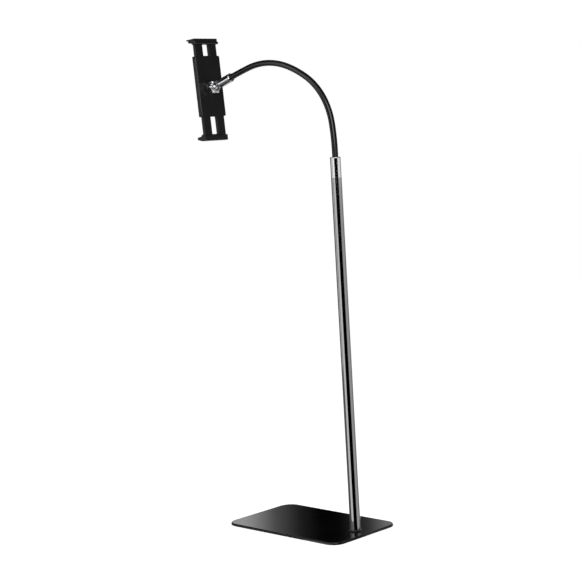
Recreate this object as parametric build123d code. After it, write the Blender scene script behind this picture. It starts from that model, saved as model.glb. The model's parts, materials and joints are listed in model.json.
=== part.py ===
from build123d import *
import math
import os

# Floor stand with a bendable neck and a sliding clamp for a phone or tablet.
# All lengths are millimetres and all angles are degrees.
# The origin is on the floor under the middle of the base plate, with +Z up.
# The plate's long side runs along Y and the held screen faces -Y.

# Fits between pieces
FIT_GAP = 0.05
RUNNING_GAP = 0.3

# Steel base plate and the foam pad glued under it
BASE_LENGTH = 320.0
BASE_WIDTH = 196.0
BASE_THICKNESS = 4.5
BASE_CORNER_RADIUS = 28.0
BASE_EDGE_ROUND = 0.8
BASE_PAD_THICKNESS = 1.2
BASE_PAD_INSET = 2.5
BASE_PAD_BOLT_CLEARANCE = 1.0

# Countersunk bolt that holds the pole from below
BOLT_DIAMETER = 8.0
BOLT_HEAD_DIAMETER = 15.8
BOLT_HEAD_HEIGHT = 3.9
BOLT_LENGTH = 25.0
BOLT_DRIVE_WIDTH = 5.0
BOLT_DRIVE_DEPTH = 2.6

# Pole, its foot ring and the threaded plugs pressed into its ends
POLE_SETBACK = 34.0
POLE_DIAMETER = 22.0
POLE_WALL = 1.2
POLE_LENGTH = 726.0
FOOT_RING_RIM = 1.5
FOOT_RING_HEIGHT = 2.5
FOOT_INSERT_LENGTH = 24.0
TOP_INSERT_LENGTH = 20.0
INSERT_CHAMFER = 0.8

# Collar that grips the lower end of the neck
COLLAR_HEIGHT = 42.0
COLLAR_FLOOR = 8.0
COLLAR_TOP_ROUND = 1.4
COLLAR_FOOT_CHAMFER = 0.4
NECK_STUD_HEAD = 8.0
NECK_STUD_DIAMETER = 8.0
NECK_STUD_REACH = 14.0

# Neck: a steel core in a smooth jacket, bent as it stands in the room
NECK_DIAMETER = 12.5
NECK_JACKET_WALL = 1.0
NECK_STRAIGHT = 9.0
NECK_LINK_LENGTH = 58.8
NECK_BENDS = (8.0, 25.3, 23.8, 13.0, 17.4, 17.7, 2.6)
KNUCKLE_RADIUS = 9.0

# Ferrule at the head end of the neck
FERRULE_DIAMETER = 18.6
FERRULE_LENGTH = 40.0
FERRULE_LAP = 4.0
FERRULE_GRIP = 14.0
FERRULE_NOSE_LENGTH = 5.0
FERRULE_NOSE_DIAMETER = 10.0
FERRULE_RIM_CHAMFER = 0.6

# Ball stud that turns in the ferrule
BALL_DIAMETER = 17.0
BALL_REACH = 17.4
STUB_DIAMETER = 7.0
STUB_GRIP = 12.0

# Clamp housing, measured in its own frame: the ball's centre is the origin,
# +Y is the back that faces the neck and the jaws slide along Z
CLAMP_PITCH = 4.5
HOUSING_WIDTH = 73.0
HOUSING_LENGTH = 131.0
HOUSING_RISE = 3.7
HOUSING_SHOULDER_RADIUS = 6.0
HOUSING_BACK_ROUND = 3.5
HOUSING_FRONT_ROUND = 5.0
BACK_WALL = 2.0
SIDE_WALL = 5.9
FRONT_SHELL_THICKNESS = 2.5

# Rubber pad that the held device rests on
FRONT_PAD_SIDE_MARGIN = 8.5
FRONT_PAD_END_MARGIN = 8.0
FRONT_PAD_THICKNESS = 1.6
FRONT_PAD_RECESS = 0.6
FRONT_PAD_CORNER_RADIUS = 5.0

# Screws that close the housing under the pad
SCREW_DIAMETER = 3.0
SCREW_HEAD_DIAMETER = 5.6
SCREW_HEAD_HEIGHT = 1.5
SCREW_LENGTH = 8.0
SCREW_DRIVE_WIDTH = 2.0
SCREW_DRIVE_DEPTH = 1.0
SCREW_END_DISTANCE = 15.0
SCREW_BALL_DISTANCE = 20.0

# Ball socket, split into fingers that the lobed nut squeezes
SOCKET_DIAMETER = 23.0
SOCKET_STANDOFF = 10.0
SOCKET_WRAP = 4.5
SOCKET_FOOT_ROUND = 2.5
SOCKET_SLOT_WIDTH = 1.6
SOCKET_SLOT_COUNT = 4
SOCKET_SLOT_DEPTH = 9.0
NUT_LOBE_COUNT = 6
NUT_LOBE_RADIUS = 4.2
NUT_LOBE_CIRCLE_RADIUS = 11.3
NUT_BODY_RADIUS = 12.9
NUT_FOOT_CLEARANCE = 0.5
NUT_LIP = 1.7
NUT_MOUTH_DIAMETER = 16.0
NUT_EDGE_CHAMFER = 0.9
NUT_NOSE_CHAMFER = 2.2

# Twin rails of each jaw and the channels that guide them
RAIL_WIDTH = 20.6
RAIL_DEPTH = 7.4
RAIL_LENGTH = 64.0
RAIL_SKIN = 2.2
RAIL_POCKET_COUNT = 3
UPPER_EXTENSION = 25.0
LOWER_EXTENSION = 39.6
LEAST_EXTENSION = 3.0
GREATEST_EXTENSION = 46.0
STOP_TAB_LENGTH = 5.0
STOP_TAB_DEPTH = 2.4
STOP_TAB_REACH = 1.6

# Leaf springs that press on the rails, so that a jaw stays where it is put
SPRING_LENGTH = 14.0
SPRING_WIDTH = 9.0
SPRING_THICKNESS = 0.4
SPRING_RECESS = 0.9
SPRING_END_DISTANCE = 2.0

# Jaws. Depths run to the front from the rails' back face and heights run
# inward from a jaw's outer face
JAW_SIDE_INSET = 3.7
JAW_THICKNESS = 12.4

# The upper jaw is a wedge with a sharp tip and a ridge along its back
UPPER_JAW_REACH = 24.5
UPPER_JAW_BACK_REACH = 6.0
UPPER_JAW_LIP = 2.7
UPPER_JAW_LIP_ROUND = 1.5
UPPER_JAW_TIP_THICKNESS = 1.6
UPPER_JAW_TIP_ROUND = 0.6
UPPER_JAW_THROAT_DEPTH = 9.5
UPPER_JAW_THROAT_HEIGHT = 7.4
UPPER_JAW_THROAT_ROUND = 5.0
UPPER_JAW_RIDGE_HEIGHT = 5.0
UPPER_JAW_RIDGE_ROUND = 2.2
UPPER_JAW_CREASE_ROUND = 0.5

# The lower jaw is a blunt ledge that rises from a flat sole
LOWER_JAW_REACH = 23.5
LOWER_JAW_BACK_REACH = 2.5
LOWER_JAW_BACK_ROUND = 1.6
LOWER_JAW_SOLE_DEPTH = 8.0
LOWER_JAW_SOLE_ROUND = 6.0
LOWER_JAW_TIP_HEIGHT = 4.2
LOWER_JAW_TIP_THICKNESS = 5.6
LOWER_JAW_TIP_ROUND = 2.2
LOWER_JAW_THROAT_DEPTH = 12.5
LOWER_JAW_THROAT_HEIGHT = 10.2
LOWER_JAW_THROAT_ROUND = 3.0
LOWER_JAW_GUSSET_HEIGHT = 2.4
LOWER_JAW_GUSSET_DEPTH = 3.0

# Rubber liners let into the jaws
LINER_SIDE_MARGIN = 4.0
LINER_THICKNESS = 1.6
LINER_PROUD = 0.6
LINER_END_MARGIN = 2.2

# Heights and places that follow from the sizes above
plate_bottom = BASE_PAD_THICKNESS
plate_top = plate_bottom + BASE_THICKNESS
pole_bottom = plate_top + FOOT_RING_HEIGHT
pole_top = pole_bottom + POLE_LENGTH
pole_y = BASE_LENGTH / 2 - POLE_SETBACK
pole_bore_radius = POLE_DIAMETER / 2 - POLE_WALL
collar_top = pole_top + COLLAR_HEIGHT
neck_bottom = pole_top + COLLAR_FLOOR + NECK_STUD_HEAD
neck_radius = NECK_DIAMETER / 2
stub_radius = STUB_DIAMETER / 2
ball_radius = BALL_DIAMETER / 2
rail_back = -SOCKET_STANDOFF - BACK_WALL - RUNNING_GAP
rail_front = rail_back - RAIL_DEPTH
channel_back = rail_back + RUNNING_GAP
channel_front = rail_front - RUNNING_GAP
housing_front = channel_front - FRONT_SHELL_THICKNESS
half_housing = HOUSING_LENGTH / 2
housing_top = HOUSING_RISE + half_housing
housing_bottom = HOUSING_RISE - half_housing
rail_centre = HOUSING_WIDTH / 2 - SIDE_WALL - RUNNING_GAP - RAIL_WIDTH / 2
half_rail_gap = rail_centre - RAIL_WIDTH / 2
nut_back = SOCKET_WRAP + RUNNING_GAP + NUT_LIP
nut_skirt = SOCKET_STANDOFF - SOCKET_FOOT_ROUND - NUT_FOOT_CLEARANCE
ferrule_reach = FERRULE_LENGTH - FERRULE_LAP
jaw_width = HOUSING_WIDTH - 2 * JAW_SIDE_INSET
screw_places = (
    housing_bottom + SCREW_END_DISTANCE,
    -SCREW_BALL_DISTANCE,
    SCREW_BALL_DISTANCE,
    housing_top - SCREW_END_DISTANCE,
)

# Profiles of the jaws as (depth, height, corner radius)
upper_jaw_profile = (
    (-UPPER_JAW_LIP, 0.0, UPPER_JAW_LIP_ROUND),
    (UPPER_JAW_REACH, 0.0, UPPER_JAW_TIP_ROUND),
    (UPPER_JAW_REACH, UPPER_JAW_TIP_THICKNESS, UPPER_JAW_TIP_ROUND),
    (UPPER_JAW_THROAT_DEPTH, UPPER_JAW_THROAT_HEIGHT, UPPER_JAW_THROAT_ROUND),
    (RAIL_DEPTH, JAW_THICKNESS, 0.0),
    (-UPPER_JAW_BACK_REACH, JAW_THICKNESS, UPPER_JAW_RIDGE_ROUND),
    (-UPPER_JAW_BACK_REACH, JAW_THICKNESS - UPPER_JAW_RIDGE_HEIGHT, UPPER_JAW_RIDGE_ROUND),
    (-UPPER_JAW_LIP, JAW_THICKNESS - UPPER_JAW_RIDGE_HEIGHT, UPPER_JAW_CREASE_ROUND),
)
lower_jaw_profile = (
    (-LOWER_JAW_BACK_REACH, 0.0, LOWER_JAW_BACK_ROUND),
    (LOWER_JAW_SOLE_DEPTH, 0.0, LOWER_JAW_SOLE_ROUND),
    (LOWER_JAW_REACH, LOWER_JAW_TIP_HEIGHT, LOWER_JAW_TIP_ROUND),
    (LOWER_JAW_REACH, LOWER_JAW_TIP_HEIGHT + LOWER_JAW_TIP_THICKNESS, LOWER_JAW_TIP_ROUND),
    (LOWER_JAW_THROAT_DEPTH, LOWER_JAW_THROAT_HEIGHT, LOWER_JAW_THROAT_ROUND),
    (RAIL_DEPTH, JAW_THICKNESS + LOWER_JAW_GUSSET_HEIGHT, 0.0),
    (LOWER_JAW_GUSSET_DEPTH, JAW_THICKNESS, 0.0),
    (-LOWER_JAW_BACK_REACH, JAW_THICKNESS, LOWER_JAW_BACK_ROUND),
)
upper_liner_span = (upper_jaw_profile[2], upper_jaw_profile[3])
lower_liner_span = (lower_jaw_profile[3], lower_jaw_profile[4])


# Shared shapes


def heading_vector(heading):
    """Return the unit vector in the YZ plane at an angle from +Y towards +Z."""
    return Vector(0, math.cos(math.radians(heading)), math.sin(math.radians(heading)))


def upright(radius, bottom, top):
    """Return a round bar on the pole's axis between two heights."""
    return Pos(0, pole_y, (bottom + top) / 2) * Cylinder(radius, top - bottom)


def turned(profile):
    """Return the solid turned from a closed profile of (radius, height) points."""
    outline = make_face(Polyline(*profile, close=True))
    return revolve(Plane.XZ * outline, Axis.Z)


def countersunk(diameter, head_diameter, head_height, length, gap=0.0):
    """Return a countersunk screw blank along +Z, head down, grown by a gap."""
    radius = diameter / 2 + gap
    head_radius = head_diameter / 2 + gap
    return turned([(0, 0), (head_radius, 0), (radius, head_height), (radius, length), (0, length)])


def hex_socket(width, depth):
    """Return the hexagonal drive recess that is cut into a screw's head."""
    return extrude(RegularPolygon(width / 2, 6, major_radius=False), depth)


def facing_front(y):
    """Return a plane at depth y whose sketch shows X and Z and extrudes to -Y."""
    return Plane(origin=(0, y, 0), x_dir=(1, 0, 0), z_dir=(0, -1, 0))


def slab(width, length, corner_radius, back, front):
    """Return a plate with rounded corners between two depths of the clamp."""
    outline = RectangleRounded(width, length, corner_radius)
    return extrude(facing_front(back) * outline, back - front)


def block(x_span, y_span, z_span):
    """Return a box from its least and greatest X, Y and Z."""
    spans = (x_span, y_span, z_span)
    middle = [(low + high) / 2 for low, high in spans]
    sizes = [high - low for low, high in spans]
    return Pos(*middle) * Box(*sizes)


# Base and pole


def make_base_plate():
    outline = RectangleRounded(BASE_WIDTH, BASE_LENGTH, BASE_CORNER_RADIUS)
    plate = extrude(Pos(0, 0, plate_bottom) * outline, BASE_THICKNESS)
    plate = fillet(plate.edges().group_by(Axis.Z)[-1], BASE_EDGE_ROUND)
    hole = countersunk(BOLT_DIAMETER, BOLT_HEAD_DIAMETER, BOLT_HEAD_HEIGHT, BASE_THICKNESS, FIT_GAP)
    return plate - Pos(0, pole_y, plate_bottom) * hole


def make_base_pad():
    outline = RectangleRounded(
        BASE_WIDTH - 2 * BASE_PAD_INSET,
        BASE_LENGTH - 2 * BASE_PAD_INSET,
        BASE_CORNER_RADIUS - BASE_PAD_INSET,
    )
    opening = Pos(0, pole_y) * Circle(BOLT_HEAD_DIAMETER / 2 + BASE_PAD_BOLT_CLEARANCE)
    return extrude(outline - opening, BASE_PAD_THICKNESS)


def make_base_bolt():
    bolt = countersunk(BOLT_DIAMETER, BOLT_HEAD_DIAMETER, BOLT_HEAD_HEIGHT, BOLT_LENGTH)
    bolt -= hex_socket(BOLT_DRIVE_WIDTH, BOLT_DRIVE_DEPTH)
    return Pos(0, pole_y, plate_bottom) * bolt


def make_foot_ring():
    ring = upright(POLE_DIAMETER / 2 + FOOT_RING_RIM, plate_top, pole_bottom)
    ring = fillet(ring.edges().group_by(Axis.Z)[-1], FOOT_RING_RIM * 0.6)
    return ring - upright(BOLT_DIAMETER / 2 + FIT_GAP, plate_top, pole_bottom)


def make_pole():
    tube = upright(POLE_DIAMETER / 2, pole_bottom, pole_top)
    return tube - upright(pole_bore_radius, pole_bottom, pole_top)


def make_insert(bottom, length, thread_diameter):
    plug = upright(pole_bore_radius - FIT_GAP, bottom, bottom + length)
    plug = chamfer(plug.edges(), INSERT_CHAMFER)
    return plug - upright(thread_diameter / 2 + FIT_GAP, bottom, bottom + length)


def make_collar():
    collar = upright(POLE_DIAMETER / 2, pole_top, collar_top)
    collar = fillet(collar.edges().group_by(Axis.Z)[-1], COLLAR_TOP_ROUND)
    collar = chamfer(collar.edges().group_by(Axis.Z)[0], COLLAR_FOOT_CHAMFER)
    collar -= upright(neck_radius + FIT_GAP, pole_top + COLLAR_FLOOR, collar_top)
    return collar - upright(NECK_STUD_DIAMETER / 2 + FIT_GAP, pole_top, pole_top + COLLAR_FLOOR)


def make_neck_stud():
    head = upright(neck_radius, neck_bottom - NECK_STUD_HEAD, neck_bottom)
    thread = upright(NECK_STUD_DIAMETER / 2, pole_top - NECK_STUD_REACH, neck_bottom)
    return head + thread


# Neck


def neck_stations():
    """Return the point and heading at the start of each link and at the neck's end."""
    point = Vector(0, pole_y, collar_top + NECK_STRAIGHT)
    heading = 90.0
    stations = [(point, heading)]
    for bend in NECK_BENDS:
        half_turn = math.radians(bend) / 2
        chord = NECK_LINK_LENGTH * math.sin(half_turn) / half_turn
        point = point + heading_vector(heading + bend / 2) * chord
        heading += bend
        stations.append((point, heading))
    return stations


def make_neck_link(number, outer_radius, inner_radius):
    """Return one stiff stretch of the neck: domed at its end, cupped at its start."""
    stations = neck_stations()
    start, start_heading = stations[number - 1]
    end, end_heading = stations[number]
    bend = NECK_BENDS[number - 1]

    section = Circle(outer_radius)
    if inner_radius > 0:
        section -= Circle(inner_radius)
    start_plane = Plane(origin=start, z_dir=heading_vector(start_heading))
    end_plane = Plane(origin=end, z_dir=heading_vector(end_heading))

    direction = heading_vector(start_heading)
    bend_radius = NECK_LINK_LENGTH / math.radians(bend)
    route = Plane.YZ * JernArc((start.Y, start.Z), (direction.Y, direction.Z), bend_radius, bend)
    link = sweep(start_plane * section, path=route)

    if number < len(NECK_BENDS):
        stub = extrude(end_plane * section, KNUCKLE_RADIUS)
        link += stub & end_plane.location * Sphere(KNUCKLE_RADIUS)
    else:
        link += extrude(end_plane * section, FERRULE_GRIP)

    if number > 1:
        link -= start_plane.location * Sphere(KNUCKLE_RADIUS + RUNNING_GAP)
    else:
        link += extrude(start_plane * section, neck_bottom - start.Z)
    return link


def make_ferrule():
    bore_radius = neck_radius + FIT_GAP
    outer_radius = FERRULE_DIAMETER / 2
    stub_bore_radius = stub_radius + FIT_GAP
    profile = [
        (bore_radius, -FERRULE_LAP),
        (outer_radius - FERRULE_RIM_CHAMFER, -FERRULE_LAP),
        (outer_radius, FERRULE_RIM_CHAMFER - FERRULE_LAP),
        (outer_radius, ferrule_reach - FERRULE_NOSE_LENGTH),
        (FERRULE_NOSE_DIAMETER / 2, ferrule_reach),
        (stub_bore_radius, ferrule_reach),
        (stub_bore_radius, ferrule_reach - STUB_GRIP - FIT_GAP),
        (0, ferrule_reach - STUB_GRIP - FIT_GAP),
        (0, FERRULE_GRIP),
        (bore_radius, FERRULE_GRIP),
    ]
    return head_plane().location * turned(profile)


def make_ball_stud():
    ball_place = ferrule_reach + BALL_REACH
    stub_start = ferrule_reach - STUB_GRIP
    stub = Pos(0, 0, (stub_start + ball_place) / 2) * Cylinder(stub_radius, ball_place - stub_start)
    return head_plane().location * (stub + Pos(0, 0, ball_place) * Sphere(ball_radius))


def head_plane():
    """Return the plane at the neck's end, facing the way the ball stud points."""
    end, heading = neck_stations()[-1]
    return Plane(origin=end, z_dir=heading_vector(heading))


def ball_centre():
    end, heading = neck_stations()[-1]
    return end + heading_vector(heading) * (ferrule_reach + BALL_REACH)


def on_neck(piece):
    """Move a piece from the clamp's own frame to its place on the ball."""
    return Location(ball_centre(), (CLAMP_PITCH, 0, 0)) * piece


# Clamp housing and ball socket


def housing_outline():
    """Return the whole housing, before it is hollowed and split."""
    corners = (
        (-HOUSING_WIDTH / 2, -SOCKET_STANDOFF),
        (HOUSING_WIDTH / 2, -SOCKET_STANDOFF),
        (HOUSING_WIDTH / 2, housing_front),
        (-HOUSING_WIDTH / 2, housing_front),
    )
    rounds = (HOUSING_BACK_ROUND, HOUSING_BACK_ROUND, HOUSING_FRONT_ROUND, HOUSING_FRONT_ROUND)
    section = make_face(FilletPolyline(*corners, radius=rounds, close=True))
    bar = Pos(0, 0, -half_housing) * extrude(section, HOUSING_LENGTH)
    shoulders = slab(
        HOUSING_WIDTH, HOUSING_LENGTH, HOUSING_SHOULDER_RADIUS, -SOCKET_STANDOFF, housing_front
    )
    return Pos(0, 0, HOUSING_RISE) * (bar & shoulders)


def screw_blank(gap):
    """Return the housing screws, or with a gap the holes that take them."""
    screws = []
    for place in screw_places:
        blank = countersunk(SCREW_DIAMETER, SCREW_HEAD_DIAMETER, SCREW_HEAD_HEIGHT, SCREW_LENGTH, gap)
        if gap == 0:
            blank -= hex_socket(SCREW_DRIVE_WIDTH, SCREW_DRIVE_DEPTH)
        seat = Location((0, housing_front + FRONT_PAD_RECESS, place), (-90, 0, 0))
        screws.append(seat * blank)
    return screws


def spring_place(side, direction):
    """Return the middle of a leaf spring on its recess floor."""
    from_middle = half_housing - SPRING_END_DISTANCE - SPRING_LENGTH / 2
    return (side * rail_centre, channel_back + SPRING_RECESS, HOUSING_RISE + direction * from_middle)


def stop_groove(side, direction):
    """Return the groove in the web that limits a jaw's travel."""
    web_edge = half_rail_gap - RUNNING_GAP
    inner = half_housing + LEAST_EXTENSION - RAIL_LENGTH - RUNNING_GAP
    outer = half_housing + GREATEST_EXTENSION - RAIL_LENGTH + STOP_TAB_LENGTH + RUNNING_GAP
    depth = (rail_back + rail_front) / 2
    half_depth = STOP_TAB_DEPTH / 2 + RUNNING_GAP
    x_span = sorted((side * web_edge, side * (web_edge - STOP_TAB_REACH)))
    z_span = sorted((HOUSING_RISE + direction * inner, HOUSING_RISE + direction * outer))
    return block(x_span, (depth - half_depth, depth + half_depth), z_span)


def make_back_shell():
    whole_length = (-HOUSING_LENGTH, HOUSING_LENGTH)
    shell = housing_outline() & block(
        (-HOUSING_WIDTH, HOUSING_WIDTH), (channel_front, 0), whole_length
    )
    half_channel = RAIL_WIDTH / 2 + RUNNING_GAP
    for side in (-1, 1):
        x_span = (side * rail_centre - half_channel, side * rail_centre + half_channel)
        shell -= block(x_span, (channel_front, channel_back), whole_length)
        for direction in (-1, 1):
            shell -= stop_groove(side, direction)
            x, floor, z = spring_place(side, direction)
            half_width = SPRING_WIDTH / 2 + FIT_GAP
            half_length = SPRING_LENGTH / 2 + FIT_GAP
            shell -= block(
                (x - half_width, x + half_width),
                (channel_back, floor),
                (z - half_length, z + half_length),
            )
    for hole in screw_blank(FIT_GAP):
        shell -= hole

    socket_radius = SOCKET_DIAMETER / 2
    boss = facing_front(SOCKET_WRAP) * Circle(socket_radius)
    foot = facing_front(-SOCKET_STANDOFF + SOCKET_FOOT_ROUND) * Circle(socket_radius)
    flare = extrude(foot, SOCKET_FOOT_ROUND, taper=-45)
    shell += extrude(boss, SOCKET_WRAP + SOCKET_STANDOFF) + flare
    shell -= Sphere(ball_radius + FIT_GAP)
    for number in range(SOCKET_SLOT_COUNT):
        turn = 45 + number * 360 / SOCKET_SLOT_COUNT
        slot = block(
            (-SOCKET_SLOT_WIDTH / 2, SOCKET_SLOT_WIDTH / 2),
            (SOCKET_WRAP - SOCKET_SLOT_DEPTH, SOCKET_WRAP),
            (ball_radius / 2, SOCKET_DIAMETER),
        )
        shell -= Rot(0, turn, 0) * slot
    return on_neck(shell)


def make_front_shell():
    shell = housing_outline() & block(
        (-HOUSING_WIDTH, HOUSING_WIDTH),
        (housing_front, channel_front),
        (-HOUSING_LENGTH, HOUSING_LENGTH),
    )
    shell -= pad_blank(housing_front + FRONT_PAD_RECESS, housing_front)
    for hole in screw_blank(FIT_GAP):
        shell -= hole
    return on_neck(shell)


def pad_blank(back, front):
    width = HOUSING_WIDTH - 2 * FRONT_PAD_SIDE_MARGIN
    length = HOUSING_LENGTH - 2 * FRONT_PAD_END_MARGIN
    pad = slab(width, length, FRONT_PAD_CORNER_RADIUS, back, front)
    return Pos(0, 0, HOUSING_RISE) * pad


def make_front_pad():
    seat = housing_front + FRONT_PAD_RECESS
    return on_neck(pad_blank(seat, seat - FRONT_PAD_THICKNESS))


def make_housing_screws():
    return on_neck(Compound(children=screw_blank(0)))


def make_clamp_nut():
    ring = Circle(NUT_BODY_RADIUS)
    lobes = PolarLocations(NUT_LOBE_CIRCLE_RADIUS, NUT_LOBE_COUNT) * Circle(NUT_LOBE_RADIUS)
    nut = extrude(facing_front(nut_back) * (ring + lobes), nut_back + nut_skirt)
    nut = chamfer(nut.faces().sort_by(Axis.Y)[0].edges(), NUT_EDGE_CHAMFER)
    nut = chamfer(nut.faces().sort_by(Axis.Y)[-1].edges(), NUT_NOSE_CHAMFER)
    bore = facing_front(SOCKET_WRAP + RUNNING_GAP) * Circle(SOCKET_DIAMETER / 2 + 2 * FIT_GAP)
    mouth = facing_front(nut_back) * Circle(NUT_MOUTH_DIAMETER / 2)
    nut -= extrude(bore, nut_back + nut_skirt)
    return on_neck(nut - extrude(mouth, nut_back + nut_skirt))


# Jaws


def jaw_point(depth, height, extension):
    """Return (Y, Z) of a profile point, for a jaw that opens towards +Z."""
    outer_face = half_housing + extension + JAW_THICKNESS
    return (rail_back - depth, outer_face - height)


def jaw_bar(profile, extension):
    points = [jaw_point(depth, height, extension) for depth, height, radius in profile]
    radii = [radius for depth, height, radius in profile]
    face = make_face(FilletPolyline(*points, radius=radii, close=True))
    return extrude(Plane.YZ * face, jaw_width / 2, both=True)


def liner_blank(span, extension):
    """Return the rubber strip let into the gripping face of a jaw."""
    tip = Vector(*jaw_point(span[0][0], span[0][1], extension))
    root = Vector(*jaw_point(span[1][0], span[1][1], extension))
    along = (root - tip).normalized()
    inward = Vector(-along.Y, along.X)
    if inward.Y > 0:
        inward = inward * -1
    start = tip + along * LINER_END_MARGIN
    end = root - along * LINER_END_MARGIN
    top = inward * LINER_PROUD
    bottom = inward * (LINER_PROUD - LINER_THICKNESS)
    corners = (start + top, end + top, end + bottom, start + bottom)
    face = make_face(Polyline(*[(corner.X, corner.Y) for corner in corners], close=True))
    return extrude(Plane.YZ * face, jaw_width / 2 - LINER_SIDE_MARGIN, both=True)


def rail(side, extension):
    """Return one rail with its pockets and the tab that stops its travel."""
    inner = half_housing + extension - RAIL_LENGTH
    outer = half_housing + extension
    x = side * rail_centre
    x_span = (x - RAIL_WIDTH / 2, x + RAIL_WIDTH / 2)
    bar = block(x_span, (rail_front, rail_back), (inner, outer + JAW_THICKNESS / 2))

    pitch = (RAIL_LENGTH - RAIL_SKIN) / RAIL_POCKET_COUNT
    for number in range(RAIL_POCKET_COUNT):
        low = inner + RAIL_SKIN + number * pitch
        bar -= block(
            (x_span[0] + RAIL_SKIN, x_span[1] - RAIL_SKIN),
            (rail_front, rail_back - RAIL_SKIN),
            (low, low + pitch - RAIL_SKIN),
        )

    flank = side * half_rail_gap
    depth = (rail_back + rail_front) / 2
    tab_tip = flank - side * STOP_TAB_REACH
    return bar + block(
        sorted((flank, tab_tip)),
        (depth - STOP_TAB_DEPTH / 2, depth + STOP_TAB_DEPTH / 2),
        (inner, inner + STOP_TAB_LENGTH),
    )


def seat_jaw(piece, direction):
    """Turn a jaw piece made for the upper side to its side of the housing."""
    if direction < 0:
        piece = mirror(piece, about=Plane.XY)
    return on_neck(Pos(0, 0, HOUSING_RISE) * piece)


def make_jaw(direction, extension, profile, liner_span):
    jaw = jaw_bar(profile, extension)
    for side in (-1, 1):
        jaw += rail(side, extension)
    jaw -= liner_blank(liner_span, extension)
    return seat_jaw(jaw, direction)


def make_liner(direction, extension, liner_span):
    return seat_jaw(liner_blank(liner_span, extension), direction)


def leaf_spring(side, direction):
    """Return a bowed leaf whose crest touches the back of a rail."""
    x, floor, z = spring_place(side, direction)
    half_length = SPRING_LENGTH / 2
    rise = SPRING_RECESS + RUNNING_GAP - FIT_GAP - SPRING_THICKNESS
    back = ThreePointArc((floor, z - half_length), (floor - rise, z), (floor, z + half_length))
    inner_floor = floor - SPRING_THICKNESS
    front = ThreePointArc(
        (inner_floor, z + half_length), (inner_floor - rise, z), (inner_floor, z - half_length)
    )
    face = make_face(back + Line(back @ 1, front @ 0) + front + Line(front @ 1, back @ 0))
    return Pos(x, 0, 0) * extrude(Plane.YZ * face, SPRING_WIDTH / 2, both=True)


def make_springs(direction):
    return on_neck(Compound(children=[leaf_spring(side, direction) for side in (-1, 1)]))


# The whole stand


def make_pieces():
    pieces = {
        "base_plate": make_base_plate(),
        "base_pad": make_base_pad(),
        "base_bolt": make_base_bolt(),
        "foot_ring": make_foot_ring(),
        "foot_insert": make_insert(pole_bottom, FOOT_INSERT_LENGTH, BOLT_DIAMETER),
        "pole": make_pole(),
        "top_insert": make_insert(
            pole_top - TOP_INSERT_LENGTH, TOP_INSERT_LENGTH, NECK_STUD_DIAMETER
        ),
        "neck_collar": make_collar(),
        "neck_stud": make_neck_stud(),
    }
    core_radius = neck_radius - NECK_JACKET_WALL - FIT_GAP
    for number in range(1, len(NECK_BENDS) + 1):
        pieces[f"neck_jacket_{number}"] = make_neck_link(
            number, neck_radius, neck_radius - NECK_JACKET_WALL
        )
        pieces[f"neck_core_{number}"] = make_neck_link(number, core_radius, 0)
    pieces["head_ferrule"] = make_ferrule()
    pieces["ball_stud"] = make_ball_stud()
    pieces["clamp_nut"] = make_clamp_nut()
    pieces["back_shell"] = make_back_shell()
    pieces["front_shell"] = make_front_shell()
    pieces["front_pad"] = make_front_pad()
    pieces["housing_screws"] = make_housing_screws()

    jaws = (
        ("upper", 1, UPPER_EXTENSION, upper_jaw_profile, upper_liner_span),
        ("lower", -1, LOWER_EXTENSION, lower_jaw_profile, lower_liner_span),
    )
    for name, direction, extension, profile, span in jaws:
        pieces[f"{name}_jaw"] = make_jaw(direction, extension, profile, span)
        pieces[f"{name}_jaw_liner"] = make_liner(direction, extension, span)
        pieces[f"{name}_rail_springs"] = make_springs(direction)
    return pieces


def print_hinges():
    """Print where the neck's knuckles and the ball lie, for the motion record."""
    for number, (point, heading) in enumerate(neck_stations()):
        print(f"station {number}: y {point.Y:.4f} z {point.Z:.4f} heading {heading:.2f}")
    centre = ball_centre()
    print(f"ball: y {centre.Y:.4f} z {centre.Z:.4f} clamp pitch {CLAMP_PITCH:.2f}")


os.makedirs("parts", exist_ok=True)
for name, piece in make_pieces().items():
    export_step(piece, f"parts/{name}.step")
print_hinges()
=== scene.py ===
import json
import math

import bmesh
import bpy
from mathutils import Matrix, Quaternion, Vector


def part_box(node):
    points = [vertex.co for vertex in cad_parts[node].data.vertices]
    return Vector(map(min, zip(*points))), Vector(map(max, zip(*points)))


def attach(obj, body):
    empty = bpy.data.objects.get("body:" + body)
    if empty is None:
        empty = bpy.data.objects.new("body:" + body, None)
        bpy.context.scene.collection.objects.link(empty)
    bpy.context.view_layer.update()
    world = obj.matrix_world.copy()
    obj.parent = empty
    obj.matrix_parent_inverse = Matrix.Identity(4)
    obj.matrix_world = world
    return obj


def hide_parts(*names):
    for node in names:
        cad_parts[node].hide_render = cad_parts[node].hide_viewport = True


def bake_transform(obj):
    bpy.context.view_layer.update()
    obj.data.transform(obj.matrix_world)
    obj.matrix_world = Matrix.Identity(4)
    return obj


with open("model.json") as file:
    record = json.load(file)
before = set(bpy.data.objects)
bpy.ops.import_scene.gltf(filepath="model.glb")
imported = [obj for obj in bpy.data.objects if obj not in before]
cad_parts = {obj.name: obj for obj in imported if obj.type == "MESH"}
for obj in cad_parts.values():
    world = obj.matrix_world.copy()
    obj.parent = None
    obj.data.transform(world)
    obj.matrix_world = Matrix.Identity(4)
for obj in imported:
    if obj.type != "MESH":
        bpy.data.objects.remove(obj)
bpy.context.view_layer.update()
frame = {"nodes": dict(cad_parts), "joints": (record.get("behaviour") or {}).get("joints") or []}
NODES = frame["nodes"]
JOINTS = {joint["name"]: joint for joint in frame["joints"]}

bl_info = {
    "name": "Floor stand with bendable neck",
    "version": (1, 0, 0),
    "blender": (4, 5, 0),
    "location": "3D View > Sidebar > Stand",
    "description": "Dresses a floor stand for a phone or tablet and lights it in a small studio",
    "category": "Object",
}


# Settings that a user would change


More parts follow.
